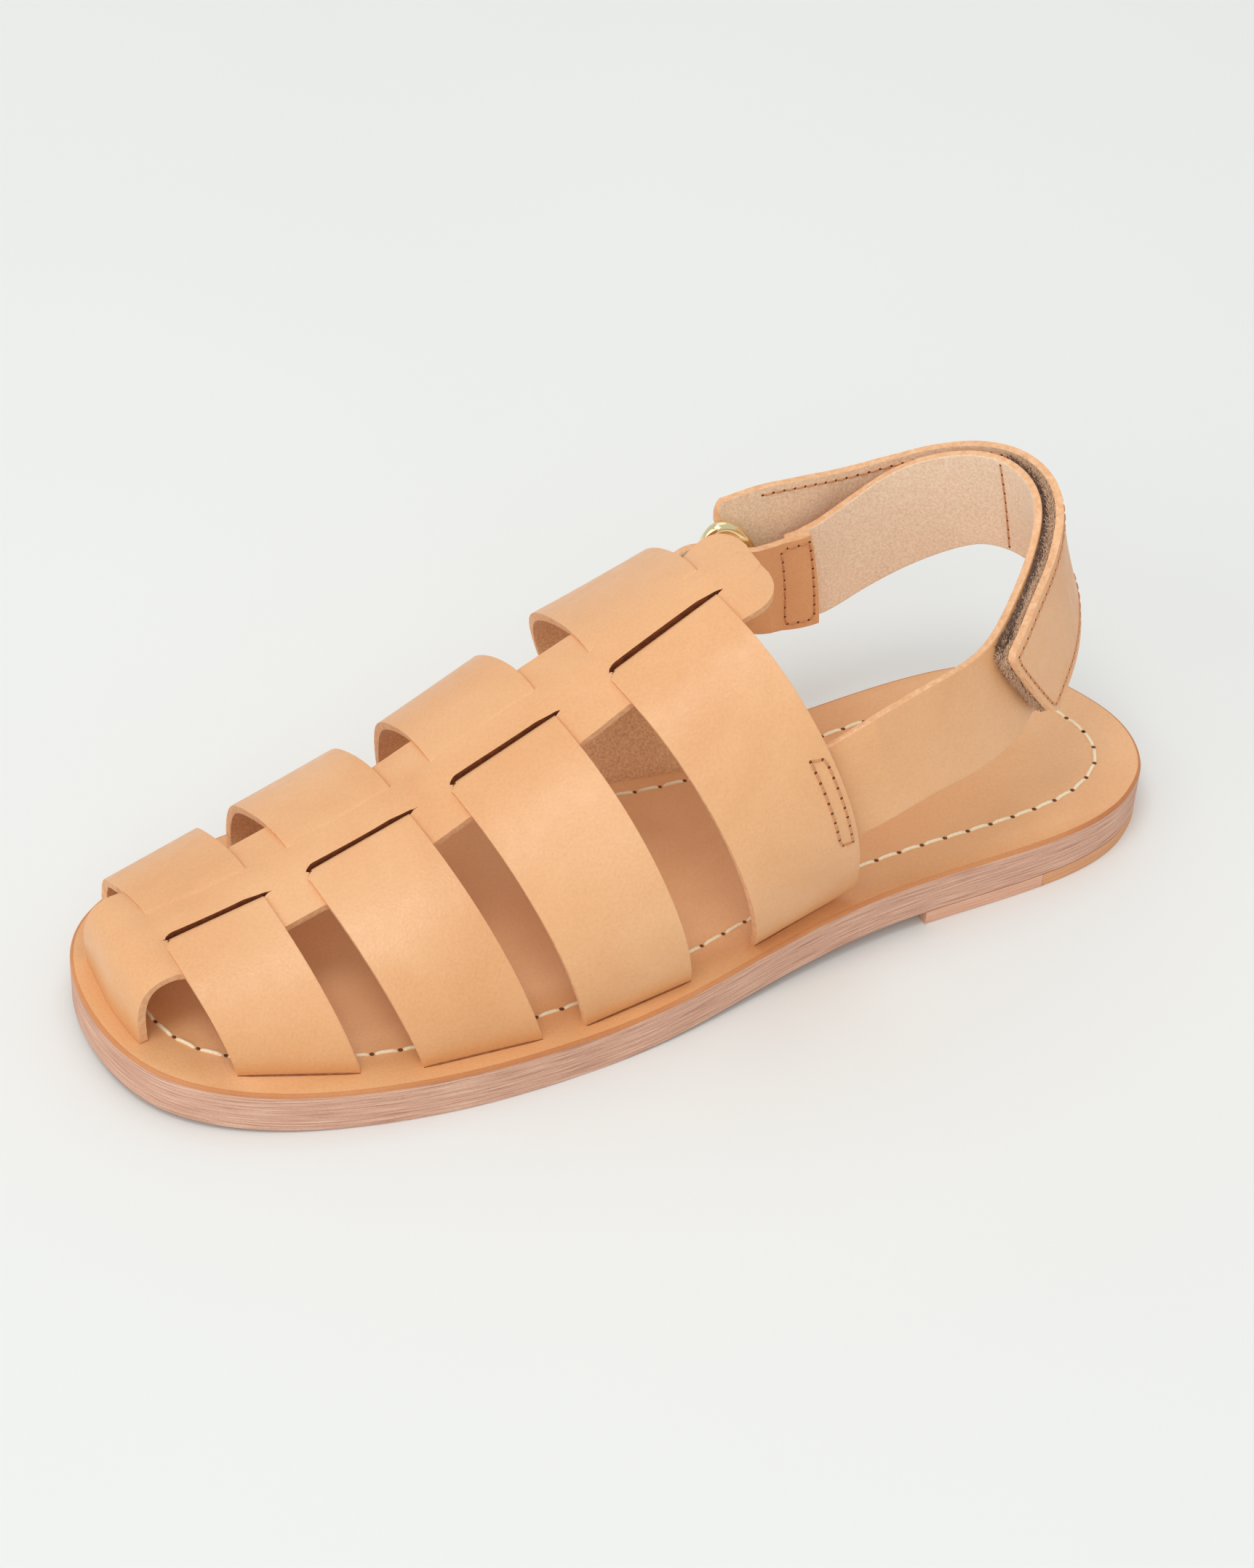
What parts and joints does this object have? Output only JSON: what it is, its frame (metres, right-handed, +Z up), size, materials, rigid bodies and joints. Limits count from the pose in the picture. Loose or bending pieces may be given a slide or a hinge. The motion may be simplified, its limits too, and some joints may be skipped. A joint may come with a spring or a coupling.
{
  "type": "caged leather sandal",
  "caption": "Left flat leather sandal: woven cage of cross straps over a closed toe, stacked leather sole with low heel, ring and hook-and-loop heel strap.",
  "frame": {"origin": "on the floor, under the middle of the sandal's box", "axes": "+X along the foot from heel to toe, +Y to the outer (lateral) side, +Z up"},
  "size_m": [0.252, 0.096, 0.0832],
  "materials": {
    "strap_leather": "smooth tan leather with a soft sheen, raw flesh side inside",
    "footbed_leather": "smooth tan leather, raw cut edge",
    "sole_leather": "raw cut edge, mauve brown, speckled",
    "lift_leather": "raw cut edge, pinkish brown",
    "top_piece_leather": "smooth tan edge",
    "ring_metal": "polished pale gold",
    "hook_fabric": "stiff brown hooks",
    "loop_fabric": "soft brown loops"
  },
  "bodies": {
    "root": {"footbed": "footbed_leather", "midsole": "sole_leather", "outsole": "sole_leather", "heel_lift": "lift_leather", "heel_top_piece": "top_piece_leather", "cage_upper": "strap_leather", "sling_strap": "strap_leather", "closure_strap": "strap_leather", "ring_tab": "strap_leather", "ring": "ring_metal", "hook_tape": "hook_fabric", "loop_tape": "loop_fabric"}
  },
  "joints": []
}
